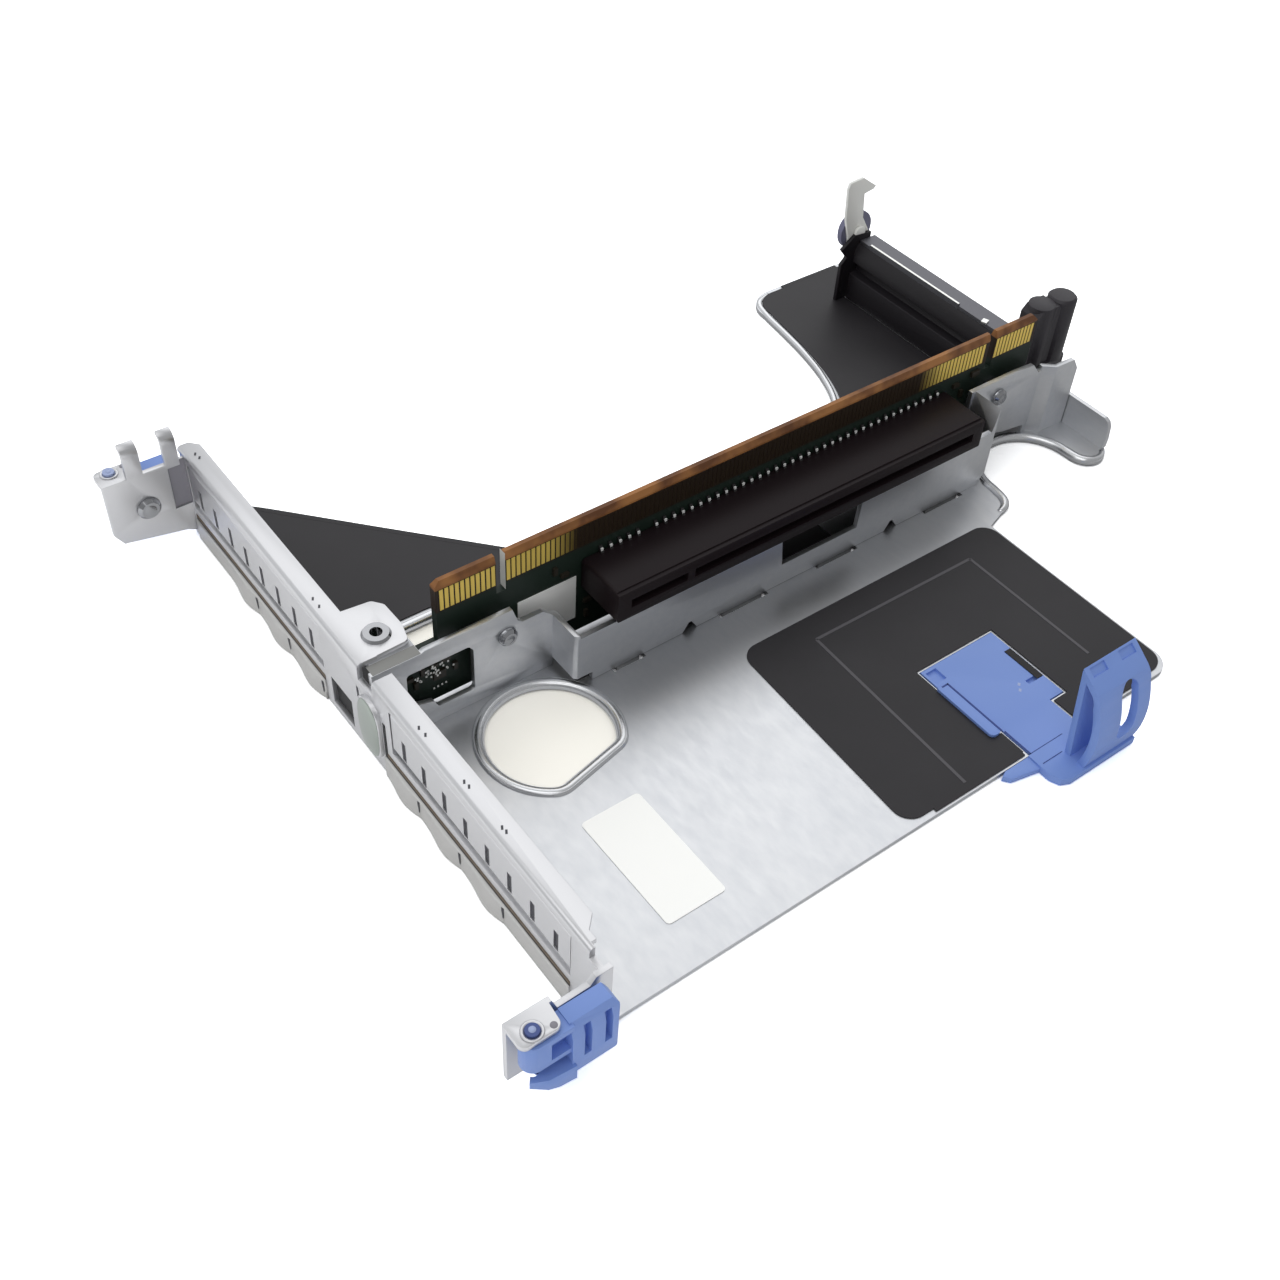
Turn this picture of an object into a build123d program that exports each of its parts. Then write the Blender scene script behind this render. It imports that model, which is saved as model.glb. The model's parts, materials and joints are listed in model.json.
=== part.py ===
from build123d import *
import os

# Sizes in millimetres. X runs along the riser board, Y across it, Z up.
# Within this file the board's front face is y = 0 and the base plate's top is z = 0.
# Everything is moved to the row frame, at the middle of the underside, when it is exported.
shift_x = -30.1
shift_y = 2.962
shift_z = 1.0

# Sheet steel
sheet = 1.0
film = 0.25
film_margin = 1.1
rim_wide = 1.3
rim_high = 0.55

# Slot bracket at the left
wall_out = -48.5
flange_top = 19.0
flange_width = 3.9
slot_low = 6.6
slot_high = 17.0
slot_start = 11.5
slot_long = 50.5
wall_end = slot_start + slot_long + 3.4
slit_pitch = 6.1
slit_wide = 1.2
slit_high = 4.4
slit_z = 10.8
spring_t = 0.35
spring_low = -0.9
spring_high = 3.9
spring_out = 1.25
spring_pitch = 12.4
eyelet_x = -42.3
eyelet_y = 3.8
eyelet_r = 1.1

# Card slot
slot_left = -4.0
slot_length = 89.0
slot_right = slot_left + slot_length
slot_depth = 11.25
slot_bottom = 12.0
slot_height = 7.0
mouth_wide = 1.9
mouth_deep = 8.2
lead_pitch = 2.0

# Board and its two edge keys
board_t = 1.6
board_top = 28.1
board_low = 1.6
tongue_left = -33.0
tongue_one = 11.65
key_wide = 1.9
key_deep = 8.25
key_two = slot_right + 10.6
tongue_three = 11.8
board_right = key_two + key_wide + tongue_three
contact_pitch = 1.0
contact_wide = 0.7
contact_t = 0.06
contact_low = 21.9
contact_high = 26.4
contact_edge = 1.1
contact_key = 0.55

# Riser bracket
bracket_front = -3.4
bracket_step = -10.4
bracket_top = 18.3
jog_left = -12.2
jog_right = slot_right + 5.4
step_top = 11.85
wing_right = board_right + 10.5

# Far right guide and end post
guide_left = board_right + 3.3
guide_right = guide_left + 6.0
guide_near = 12.0
guide_far = 57.1
guide_top = 14.0
strip_t = 0.8
hook_t = 0.8
knob_z = 16.6
knob_r = 4.6
axle_r = 1.4
post_y = 4.0

# Base plate
plate_near = -wall_end - 2.0
plate_far = wall_end + 2.9
plate_right = jog_right - 8.4
plate_far_right = guide_right + 2.4
notch_r = 10.6

# Latches at both ends of the bracket
near_face = -wall_end - 3.0
far_face = wall_end - 0.9
end_left = -64.2
ear_z = 18.0
latch_pivot_x = -61.5
latch_offset = 2.3
latch_gap = 0.3
latch_low = 4.0
latch_high = 17.0
latch_right = -48.4
pin_r = 0.8
pin_fit = 0.06

# Handle in the T-shaped window
window_left = 41.3
window_right = 60.0
window_far = -42.4
window_neck = -60.7
neck_left = 43.6
neck_right = 56.5
handle_gap = 0.2
handle_left = 43.0
handle_right = 61.8
loop_left = 48.9


def block(x0, x1, y0, y1, z0, z1):
    return Pos((x0 + x1) / 2, (y0 + y1) / 2, (z0 + z1) / 2) * Box(x1 - x0, y1 - y0, z1 - z0)


def slab(points, z0, z1):
    face = make_face(Polyline(*points, close=True))
    return Pos(0, 0, z0) * extrude(face, z1 - z0, dir=(0, 0, 1))


def upright(points, y0, y1):
    # An outline of (x, z) points pushed from y0 to y1
    face = make_face(Polyline(*[(x, 0, z) for x, z in points], close=True))
    return Pos(0, y0, 0) * extrude(face, y1 - y0, dir=(0, 1, 0))


def sideways(points, x0, x1):
    # An outline of (y, z) points pushed from x0 to x1
    face = make_face(Polyline(*[(0, y, z) for y, z in points], close=True))
    return Pos(x0, 0, 0) * extrude(face, x1 - x0, dir=(1, 0, 0))


def joined(parts):
    return Wire([edge for part in parts for edge in part.edges()])


def rounded(solid, radius, axis, pick):
    edges = [e for e in solid.edges().filter_by(axis) if pick(e.center())]
    return fillet(edges, radius) if edges else solid


def notch_centre():
    return (jog_right + 11.6, -13.2)


def plate_outline():
    cx, cy = notch_centre()
    r = notch_r
    left = wall_out + sheet
    near = Polyline((left, wall_end), (left, plate_near), (plate_right - 4, plate_near))
    corner = RadiusArc((plate_right - 4, plate_near), (plate_right, plate_near + 4), -4)
    right = Polyline((plate_right, plate_near + 4), (plate_right, -21.2), (cx - 15.2, -19.6))
    tip = ThreePointArc((cx - 15.2, -19.6), (cx - 12.0, -18.0), (cx - r, cy))
    notch = ThreePointArc((cx - r, cy), (cx, cy + r), (cx + r, cy))
    lobe = Spline((cx + r, cy), (cx + r + 0.4, -17.0), (cx + r + 3.0, -19.3), (cx + r + 6.4, -18.8),
                  (plate_far_right, -16.6))
    side = Polyline((plate_far_right, -16.6), (plate_far_right, plate_far), (jog_right + 8.1, plate_far))
    turn = ThreePointArc((jog_right + 8.1, plate_far), (jog_right + 2.8, plate_far - 2.2),
                         (jog_right + 1.0, plate_far - 7.3))
    curve = Spline((jog_right + 1.0, plate_far - 7.3), (jog_right - 0.1, 53.0), (jog_right - 1.4, 45.0),
                   (jog_right - 3.8, 35.6), (jog_right - 8.4, 26.0), (jog_right - 16.4, 19.0))
    back = Polyline((jog_right - 16.4, 19.0), (5.2, 19.0), (left + 12.9, wall_end - 2.8), (left + 9.1, wall_end),
                    (left, wall_end))
    return [near, corner, right, tip, notch, lobe, side, turn, curve, back]


def d_hole():
    # Round hole with one flat side, turned as in the plate
    disc = Circle(11.8)
    flat = Pos(0, -9.4 - 10) * Rectangle(40, 20)
    shape = disc - flat
    corners = [v for v in shape.vertices() if v.Y < -9]
    shape = fillet(corners, 3.2)
    return Pos(-21.9, -17.0) * Rot(0, 0, 12.5) * shape


def back_hole():
    return Pos(-26.6, 13.6) * RectangleRounded(10.4, 10.6, 2.2)


def rim(shape):
    # The edge of a hole is rolled up a little above the plate
    return extrude(offset(shape, rim_wide, kind=Kind.ARC) - shape, rim_high, dir=(0, 0, 1))


def base_plate():
    cx, cy = notch_centre()
    face = make_face(joined(plate_outline()))
    face = face - d_hole() - back_hole()
    neck = Pos((neck_left + neck_right) / 2, (plate_near + window_neck) / 2) * Rectangle(
        neck_right - neck_left, window_neck - plate_near + 0.02)
    wide = Pos((window_left + window_right) / 2, (window_far + window_neck) / 2) * Rectangle(
        window_right - window_left, window_far - window_neck)
    face = face - wide - neck
    body = Pos(0, 0, -sheet) * extrude(face, sheet, dir=(0, 0, 1))
    for x0, x1 in foot_slots():
        body -= block(x0, x1, bracket_step - 0.75, bracket_step + sheet + 0.1, -2, 1)
    body += rim(d_hole()) + rim(back_hole())
    ring = Pos(cx, cy) * (Circle(notch_r + rim_wide) - Circle(notch_r)) & Pos(cx, cy + 10.5) * Rectangle(40, 20)
    body += extrude(ring, rim_high, dir=(0, 0, 1))
    return body + corner_flange()


def corner_flange():
    # The plate turns up along the right edge of the lobe
    low = -17.2
    outline = [(low + 0.9, -sheet), (low, 0.4), (low - 0.1, 2.6), (low + 0.2, 5.6), (low + 0.8, 6.7), (low + 1.8, 7.2),
               (-2.0, 7.2), (-2.0, -sheet)]
    return sideways(outline, plate_far_right - sheet, plate_far_right)


def foot_slots():
    return [(-4.0, 3.0), (20.4, 32.0), (44.2, 54.9), (slot_right - 11.8, slot_right - 1.0)]


def film_near():
    x0, x1 = 17.0, plate_right - 0.6
    y0, y1 = plate_near + 1.1, -20.2
    m = 0.35
    face = make_face(Polyline((x0 + 0.5, y1), (x1, y1), (x1, y0), (x0 - 1.5, y0), close=True))
    face = fillet(face.vertices(), 3.5)
    face -= Pos((window_left + window_right) / 2, (window_far + window_neck) / 2) * Rectangle(
        window_right - window_left + 2 * m, window_far - window_neck + 2 * m)
    face -= Pos((neck_left + neck_right) / 2, (window_neck + y0) / 2) * Rectangle(
        neck_right - neck_left + 2 * m, window_neck - y0 + 2)
    return extrude(face, film, dir=(0, 0, 1))


def film_back_left():
    m = film_margin
    x0 = wall_out + sheet + 1.2
    face = make_face(Polyline((x0, 4.2), (x0, wall_end - m), (x0 + 7.3, wall_end - m), (x0 + 10.9, wall_end - 3.6),
                              (4.2, 18.2), (60.0, 18.0), (60.0, 4.2), close=True))
    face -= offset(back_hole(), 2.3)
    return extrude(face, film, dir=(0, 0, 1))


def film_back_right():
    x1 = guide_left - 0.4
    y1 = plate_far - 1.2
    edge = Spline((jog_right + 2.5, plate_far - 7.7), (jog_right + 1.3, 52.8), (jog_right, 44.7), (jog_right - 2.4, 35.0),
                  (jog_right - 7.0, 25.0), (jog_right - 13.9, 17.8))
    rest = Polyline(edge @ 1, (jog_right - 13.9, 4.2), (jog_right + 9.6, 4.2), (x1, 10.0), (x1, y1),
                    (jog_right + 8.6, y1))
    turn = ThreePointArc(rest @ 1, (jog_right + 4.0, plate_far - 3.1), edge @ 0)
    return extrude(make_face(joined([edge, rest, turn])), film, dir=(0, 0, 1))


def slot_window(side):
    a = side * slot_start
    b = side * (slot_start + slot_long)
    return (min(a, b) + 1.0, max(a, b) + 1.0)


def slot_bracket():
    x0, x1 = wall_out, wall_out + sheet
    low = -sheet
    body = block(x0, x1, -wall_end, wall_end, low, flange_top)
    for side in (-1, 1):
        a, b = slot_window(side)
        body -= block(x0 - 1, x1 + 1, a, b, slot_low, slot_high)
    body += top_flange()
    body = fillet([e for e in body.edges().filter_by(Axis.Y)
                   if abs(e.center().X - x0) < 0.01 and abs(e.center().Z - flange_top) < 0.01], 0.8)
    body -= Pos(eyelet_x, eyelet_y, flange_top - 2) * Cylinder(eyelet_r + 0.5, 6)
    # Between the slot windows: the flange stops, with an opening under the tab and a raised tongue
    body -= block(x0 - 1, x0 + flange_width + 1, -5.2, -0.6, 15.6, flange_top + 1)
    body -= block(x0 - 1, x1 + 1, 3.0, 10.2, 0.4, 6.9)
    body -= block(x0 - 1, x1 + 1, -0.3, 0.5, 2.6, 13.4)
    body += Pos(x0 - 0.25, -4.2, 7.8) * Rot(0, 90, 0) * extrude(SlotOverall(13.0, 7.0), sheet / 2, both=True)
    return body + end_plate_near() + end_plate_far()


def top_flange():
    # Folded inwards, with a wide tab that carries the eyelet
    x0 = wall_out
    x1 = wall_out + flange_width
    outline = [(x0, -wall_end + 1.0), (x0 + 1.9, -wall_end + 1.0), (x0 + 1.9, -wall_end + 2.8), (x1, -wall_end + 4.8),
               (x1, wall_end - 0.8), (x1 - 1.6, wall_end + 0.9), (x0, wall_end + 0.9)]
    flange = slab(outline, flange_top - sheet, flange_top)
    tab = make_face(Polyline((x0 + 1, -0.6), (-38.6, -0.3), (-37.6, 3.6), (-37.7, 9.1), (-39.2, 11.0), (x1, 11.6),
                             (x0 + 1, 14.0), close=True))
    corners = [v for v in tab.vertices() if v.X > -40]
    tab = fillet(corners, 1.2)
    return flange + Pos(0, 0, flange_top - sheet) * extrude(tab, sheet, dir=(0, 0, 1))


def end_plate_near():
    y1 = near_face + sheet
    outline = [(end_left, latch_low), (end_left, ear_z), (-56.8, ear_z), (-55.9, 15.4), (-50.4, 15.6), (-49.4, 17.0),
               (wall_out + 2.0, 17.0), (wall_out + 2.0, -sheet), (-49.0, -sheet), (-50.2, latch_low)]
    plate = upright(outline, near_face, y1)
    join = block(wall_out, wall_out + sheet, near_face, -wall_end + 0.5, -sheet, 17.0)
    return plate + join + latch_ear(near_face, -1)


def end_plate_far():
    front = far_face - sheet
    edge = wall_out + 0.5
    outline = [(end_left, 6.5), (end_left, ear_z), (edge, ear_z), (edge, 0.4), (-50.6, 1.7), (-62.7, 4.0)]
    body = upright(outline, front, far_face)
    body -= block(-51.9, wall_out, front - 1, front + 0.5, 7.5, ear_z + 1)
    body += latch_ear(far_face, 1)
    body += horn(-59.5, -56.4, far_face) + horn(-52.1, -49.4, far_face)
    x, z = end_screw_place()
    return body - Pos(x, far_face, z) * Rot(90, 0, 0) * Cylinder(1.4, 6)


def end_screw_place():
    return (-56.8, 10.1)


def horn(x0, x1, y1):
    # A bent finger that stands on the end plate and curls away at the top
    y0 = y1 - sheet
    z0 = ear_z - 1
    z1 = ear_z + 4.4
    rise = Line((y0, z0), (y0, z1))
    curl = ThreePointArc((y0, z1), (y0 + 0.5, z1 + 1.5), (y0 + 1.9, z1 + 2.3))
    end = Line((y0 + 1.9, z1 + 2.3), (y0 + 2.3, z1 + 1.4))
    inner = ThreePointArc((y0 + 2.3, z1 + 1.4), (y0 + 1.4, z1 + 0.9), (y1, z1))
    down = Line((y1, z1), (y1, z0))
    foot = Line((y1, z0), (y0, z0))
    face = make_face(joined([rise, curl, end, inner, down, foot]))
    plane = Plane(origin=(x0, 0, 0), x_dir=(0, 1, 0), z_dir=(1, 0, 0))
    return extrude(plane * face, x1 - x0, dir=(1, 0, 0))


def latch_ear(face_y, side):
    # The ear over a latch, folded away from its end plate
    y0 = face_y - side * 0.6
    y1 = face_y + side * (latch_offset + 1.6)
    x1 = end_left + 7.0
    ear = slab([(end_left, y0), (x1, y0), (x1 - 0.4, y1), (end_left, y1)], ear_z - sheet, ear_z)
    ear = rounded(ear, 1.2, Axis.Z, lambda c: (c.Y - face_y) * side > 2)
    hole = Pos(latch_pivot_x, face_y + side * latch_offset, ear_z) * Cylinder(pin_r, 6)
    return ear - hole


def filler(side):
    a, b = slot_window(side)
    gap = 0.3
    x_back = wall_out + sheet
    panel = block(wall_out + 0.15, x_back + 0.8, a + gap, b - gap, slot_low + 1.3, slot_high - gap)
    panel = rounded(panel, 0.6, Axis.Y, lambda c: c.X < wall_out + 0.5)
    lip = block(x_back + 0.1, x_back + 0.8, a - 1.2, b + 1.2, slot_low + 1.3, slot_high + 0.9)
    body = panel + lip
    body -= block(wall_out + 0.85, x_back + 0.1, a + 1.4, b - 1.4, slot_low + 2.2, slot_high - 1.3)
    body -= block(wall_out + 0.85, x_back + 2, a + 2.4, b - 2.4, slot_low + 3.2, slot_high - 2.3)
    count = 8
    start = (a + b) / 2 - slit_pitch * (count - 1) / 2
    for i in range(count):
        body -= block(wall_out - 1, x_back + 2, start + i * slit_pitch - slit_wide / 2,
                      start + i * slit_pitch + slit_wide / 2, slit_z - slit_high / 2, slit_z + slit_high / 2)
    return body


def leaf(far, near, out):
    # A leaf of the contact strip, seen from above: it rises slowly and falls back more steeply
    x = wall_out - 0.05
    curve = Spline((x, far), (wall_out - out, far + (near - far) * 0.62), (x - 0.15, near))
    return make_face(joined([curve, Polyline(curve @ 1, (x, near), curve @ 0)]))


def emi_spring(side):
    # A contact strip: a flat band with bowed leaves all along it
    a, b = slot_window(side)
    count = 4
    start = (a + b) / 2 - count * spring_pitch / 2
    body = block(wall_out - 0.3, wall_out, a - 0.5, b + 0.5, spring_low, spring_high)
    for i in range(count):
        near = start + i * spring_pitch + 0.6
        far = near + spring_pitch - 1.0
        arch = leaf(far, near, spring_out) - leaf(far - 0.5, near + 0.4, spring_out - spring_t)
        body += Pos(0, 0, spring_low) * extrude(arch, spring_high - spring_low, dir=(0, 0, 1))
    return body


def riser_bracket():
    # One sheet: a left panel close to the board, a step forward under the slot, and a right wing
    t = sheet
    y_back = bracket_front
    y_fore = bracket_step
    x0 = wall_out + sheet + 0.1
    ear_right = eyelet_x + 4.2
    left = upright([(x0, 0.0), (jog_left, 0.0), (jog_left, 12.6), (-14.2, 14.4), (-18.4, 14.4), (-19.4, 15.2),
                    (-20.4, bracket_top), (ear_right + 0.6, bracket_top), (ear_right, flange_top - sheet),
                    (x0, flange_top - sheet)], y_back, y_back + t)
    left -= board_window(y_back)
    fold = upright([(jog_left, 2.0), (jog_left, 12.6), (jog_left + t, 12.6), (jog_left + t, 2.0)], y_fore, y_back + t)
    fold = rounded(fold, 0.9, Axis.Z, lambda c: (c.X < jog_left + 0.1 and c.Y < y_fore + 0.1)
                   or (c.X > jog_left + 0.9 and c.Y > y_back + 0.9))
    wall = upright([(jog_left + t / 2, 2.0), (-8.4, 2.0), (-8.4, 0.0), (jog_right - 1.8, 0.0), (jog_right - 0.8, 1.6),
                    (jog_right, 2.4), (jog_right, 13.2), (jog_right - 4.2, 13.2), (jog_right - 5.1, step_top),
                    (54.6, step_top), (54.2, 5.2), (35.2, 5.2), (34.4, step_top), (jog_left + t / 2, step_top)],
                   y_fore, y_fore + t)
    for x in (13.6, 64.2):
        wall -= upright([(x - 2.4, -1), (x + 2.4, -1), (x + 0.2, 2.2), (x - 0.4, 2.2)], y_fore - 1, y_fore + 2)
    body = left + fold + wall
    for a, b in foot_slots():
        body += block(a + 1.0, b - 1.0, y_fore, y_fore + t, -sheet, 0.5)
    body += upright([(jog_right - t, 2.4), (jog_right - t, 13.2), (jog_right, 18.6), (jog_right, 2.4)], y_fore,
                    y_back + t)
    body += wing()
    ear = slab([(x0 + 1.0, y_back), (ear_right, y_back), (ear_right + 0.2, 6.8), (ear_right - 0.8, 8.4), (x0 + 1.0, 8.4)],
               flange_top - 2 * sheet, flange_top - sheet)
    body += ear
    body -= Pos(eyelet_x, eyelet_y, flange_top - 2) * Cylinder(eyelet_r + 0.5, 6)
    for x, z in screw_places():
        body -= Pos(x, bracket_front, z) * Rot(90, 0, 0) * Cylinder(1.3, 6)
    return body


def board_window(y):
    face = make_face(Polyline((-41.2, 10.0), (-41.2, 14.4), (-29.2, 14.4), (-28.3, 13.2), (-28.3, 3.6), (-35.6, 3.6),
                              (-36.4, 5.4), (-40.0, 6.4), close=True))
    face = fillet(face.vertices(), 0.7)
    plane = Plane(origin=(0, y + 2, 0), x_dir=(1, 0, 0), z_dir=(0, -1, 0))
    return extrude(plane * face, 4, dir=(0, -1, 0))


def wing():
    y0 = bracket_front
    t = sheet
    left = jog_right - t
    span = board_right - jog_right
    bend = board_right + 1.9
    bottom = ThreePointArc((jog_right + 0.6, 13.2), (jog_right + 0.31 * span, 6.2), (jog_right + 0.72 * span, 3.0))
    outline = [Line((left, 18.6), (left, 13.2)), Line((left, 13.2), bottom @ 0), bottom,
               Polyline(bottom @ 1, (board_right + 0.1, 2.2), (board_right + 0.1, 0.0), (bend, 0.0), (bend, 15.6),
                        (bend - 1.4, 15.6), (bend - 3.6, 18.2), (jog_right + 11.6, 18.6), (left, 18.6))]
    plane = Plane(origin=(0, y0 + t, 0), x_dir=(1, 0, 0), z_dir=(0, -1, 0))
    panel = extrude(plane * make_face(joined(outline)), t, dir=(0, -1, 0))
    # The last panel bows forward from the bend
    path = [(bend - 0.6, y0), (bend + 1.8, y0 - 1.9), (wing_right, y0 - 2.2), (wing_right, y0 - 1.2),
            (bend + 2.2, y0 - 0.9), (bend, y0 + t), (bend - 0.6, y0 + t)]
    last = slab(path, 0.0, 16.8)
    last -= upright([(wing_right - 2.4, 18), (wing_right + 1, 18), (wing_right + 1, 14.2), (wing_right, 14.2)],
                    y0 - 5, y0 + 3)
    return panel + last


def screw_places():
    return [(-21.6, 12.8), (jog_right + 7.7, 14.2)]


def riser_screws():
    # Low round heads with a cross recess
    screw = Pos(0, 0, -2.4 - board_t) * Cylinder(1.25, 2.4 + board_t, align=(Align.CENTER, Align.CENTER, Align.MIN))
    head = Cylinder(1.75, 1.2, align=(Align.CENTER, Align.CENTER, Align.MIN))
    head = chamfer(head.edges().filter_by(GeomType.CIRCLE).sort_by(Axis.Z)[-1], 0.5)
    screw += head - Pos(0, 0, 1.1) * (Box(1.7, 0.4, 0.8) + Box(0.4, 1.7, 0.8))
    return Compound([Pos(x, bracket_front, z) * Rot(90, 0, 0) * screw for x, z in screw_places()])


def standoffs():
    y0 = bracket_front + sheet
    sleeve = extrude(RegularPolygon(2.7, 6) - Circle(1.3), -y0, dir=(0, 0, 1))
    return Compound([Pos(x, y0, z) * Rot(-90, 0, 0) * sleeve for x, z in screw_places()])


def eyelet():
    # Hollow rivet through the tab and the ear under it
    z0 = flange_top - 2 * sheet
    z1 = flange_top
    profile = Polyline((eyelet_r, z0), (eyelet_r + 0.5, z0), (eyelet_r + 0.5, z1), (2.55, z1), (2.2, z1 + 0.5),
                       (eyelet_r, z1 + 0.5), close=True)
    return Pos(eyelet_x, eyelet_y, 0) * revolve(Plane.XZ * make_face(profile), Axis.Z)


def riser_board():
    notch_floor = board_top - key_deep
    a = tongue_left + tongue_one
    b = a + key_wide
    c = key_two
    d = c + key_wide
    points = [(-44.0, board_low), (board_right, board_low), (board_right, board_top - 1.2),
              (board_right - 1.2, board_top), (d, board_top), (d, notch_floor), (c, notch_floor), (c, board_top),
              (b, board_top), (b, notch_floor), (a, notch_floor), (a, board_top), (tongue_left + 1.0, board_top),
              (tongue_left, board_top - 1.0), (tongue_left, 14.8), (-44.0, 14.8)]
    body = upright(points, 0.0, board_t)
    # Both long edges of the finger side are bevelled
    for y, s in ((0.0, 1), (board_t, -1)):
        body -= sideways([(y, board_top + 0.1), (y - s * 0.2, board_top + 0.1), (y - s * 0.2, board_top - 1.2),
                          (y, board_top - 1.2), (y + s * 0.42, board_top + 0.1)], -60, 120)
    for x, z in screw_places():
        body -= Pos(x, 0.8, z) * Rot(90, 0, 0) * Cylinder(1.5, 6)
    return body


def contact_places():
    first = [tongue_left + contact_edge + i * contact_pitch for i in range(11)]
    start = tongue_left + tongue_one + key_wide + contact_key
    long_count = int((key_two - contact_key - start) / contact_pitch) + 1
    long_row = [start + i * contact_pitch for i in range(long_count)]
    start = key_two + key_wide + contact_key
    last = [start + i * contact_pitch for i in range(11)]
    return first + long_row + last


def contacts(y):
    pad = block(-contact_wide / 2, contact_wide / 2, y - contact_t / 2, y + contact_t / 2, contact_low, contact_high)
    return Compound([Pos(x, 0, 0) * pad for x in contact_places()])


def slot_connector():
    x0, x1 = slot_left, slot_left + slot_length
    z0, z1 = slot_bottom, slot_bottom + slot_height
    mid = (z0 + z1) / 2
    body = block(x0, x1, -slot_depth, -0.3, z0, z1)
    body = rounded(body, 0.8, Axis.Y, lambda c: True)
    # A step along both long sides, where the housing narrows towards the mouth
    for z, s in ((z1, -1), (z0, 1)):
        body -= block(x0 - 1, x1 + 1, -slot_depth - 1, -slot_depth + 0.8, z - 0.35 if s < 0 else z - 1,
                      z + 1 if s < 0 else z + 0.35)
    # The card mouth in two lengths with the key web between
    key = x0 + 4.2 + 11.9
    for a, b in ((x0 + 2.9, key - 0.8), (key + 0.8, x1 - 2.6)):
        body -= block(a, b, -slot_depth - 1, -slot_depth + mouth_deep, mid - mouth_wide / 2, mid + mouth_wide / 2)
    for x in (x0 + 2.2, x1 - 2.2):
        body += Pos(x, -0.3, mid) * Rot(90, 0, 0) * Cylinder(1.0, 0.6)
    return body


def lead_places():
    return [i * lead_pitch for i in range(5)] + [12 + i * lead_pitch for i in range(36)]


def connector_leads():
    # Solder feet along both sides of the housing
    z1 = slot_bottom + slot_height
    foot = sideways([(-0.02, z1), (-0.02, z1 + 1.2), (-0.3, z1 + 1.2), (-1.0, z1)], -0.3, 0.3)
    low = Pos(0, 0, 2 * slot_bottom + slot_height) * mirror(foot, Plane.XY)
    return Compound([Pos(x, 0, 0) * s for x in lead_places() for s in (foot, low)])


def board_chips():
    # Small surface parts beside the slot and behind the bracket window
    spots = [(-39.2, 9.4, 1.6, 0.8), (-36.6, 9.9, 0.8, 1.6), (-34.4, 10.2, 1.6, 0.8), (-32.0, 10.6, 1.6, 0.8),
             (-38.0, 7.4, 0.8, 1.6), (-33.4, 7.6, 2.4, 1.8), (-30.2, 8.0, 0.8, 1.6), (-7.6, 17.2, 1.6, 0.8),
             (-9.6, 19.0, 0.8, 1.6), (slot_right + 2.6, 19.2, 1.6, 0.9), (slot_right + 4.6, 16.6, 0.8, 1.6),
             (slot_right + 7.8, 20.2, 2.2, 1.2), (-2.6, 8.6, 1.6, 0.8), (-2.8, 5.4, 0.8, 1.6), (-11.0, 4.2, 1.6, 0.8)]
    chips = [block(x - w / 2, x + w / 2, -0.6, 0.0, z - h / 2, z + h / 2) for x, z, w, h in spots]
    return Compound(chips)


def board_label():
    return upright([(-17.2, 8.0), (-15.9, 5.2), (-5.0, 5.2), (-5.0, 15.4), (-17.2, 15.4)], -0.12, 0.0)


def plate_label():
    face = Pos(-22.8, -47.3) * RectangleRounded(11.7, 23.6, 0.8)
    return extrude(face, 0.14, dir=(0, 0, 1))


def latch(side):
    # Drawn about its pivot on the near end, then mirrored for the far one
    back = latch_offset - latch_gap - 0.6
    right = latch_right - latch_pivot_x
    left = 5.0
    out = -2.4
    grip = sideways([(back, latch_low + 0.7), (back, latch_high), (out + 1.0, latch_high), (out, latch_high - 3.4),
                     (out, latch_low + 0.9)], left, right)
    grip = rounded(grip, 0.7, Axis.Z, lambda c: c.X > right - 0.1)
    grip -= upright([(right + 1, 13.6), (right + 1, latch_high + 1), (right - 1.6, latch_high + 1)], -9, 9)
    # Arm round the pin, just under the ear
    arm_low = 10.4
    arm_high = ear_z - sheet - latch_gap
    r = latch_offset - latch_gap
    arm = block(0, left + 0.5, -r, back, arm_low, arm_high)
    arm += Pos(0, 0, arm_low) * Cylinder(r, arm_high - arm_low, align=(Align.CENTER, Align.CENTER, Align.MIN))
    arm -= block(1.8, left + 0.2, -r - 1, -0.4, arm_low + 1.0, arm_high - 1.2)
    # Pointed toe below, wider than the arm
    toe = slab([(left + 0.5, back), (left + 0.5, out - 0.5), (1.0, out - 0.1), (-1.4, -1.3), (-0.2, 0.2), (2.0, back)],
               latch_low, latch_low + 3.4)
    toe -= upright([(-3, latch_low - 1), (-3, latch_low + 2.6), (left, latch_low - 1)], -9, 9)
    body = grip + arm + toe
    # Two grip slots in the outer face
    for x in (right - 5.5, right - 2.0):
        body -= block(x - 0.6, x + 0.6, out - 2, out + 1.6, 8.0, 15.3)
    body -= Pos(0, 0, arm_low) * Cylinder(pin_r + pin_fit, 30)
    if side > 0:
        body = mirror(body, Plane.XZ)
    return Pos(latch_pivot_x, latch_y(side), 0) * body


def latch_y(side):
    return near_face - latch_offset if side < 0 else far_face + latch_offset


def latch_pin(side):
    low = 10.0
    shank = Pos(0, 0, low) * Cylinder(pin_r, ear_z - low, align=(Align.CENTER, Align.CENTER, Align.MIN))
    collar = Pos(0, 0, ear_z) * Cylinder(1.65, 0.2, align=(Align.CENTER, Align.CENTER, Align.MIN))
    button = Pos(0, 0, ear_z + 0.2) * Cylinder(1.05, 0.4, align=(Align.CENTER, Align.CENTER, Align.MIN))
    return Pos(latch_pivot_x, latch_y(side), 0) * (shank + collar + button)


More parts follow.
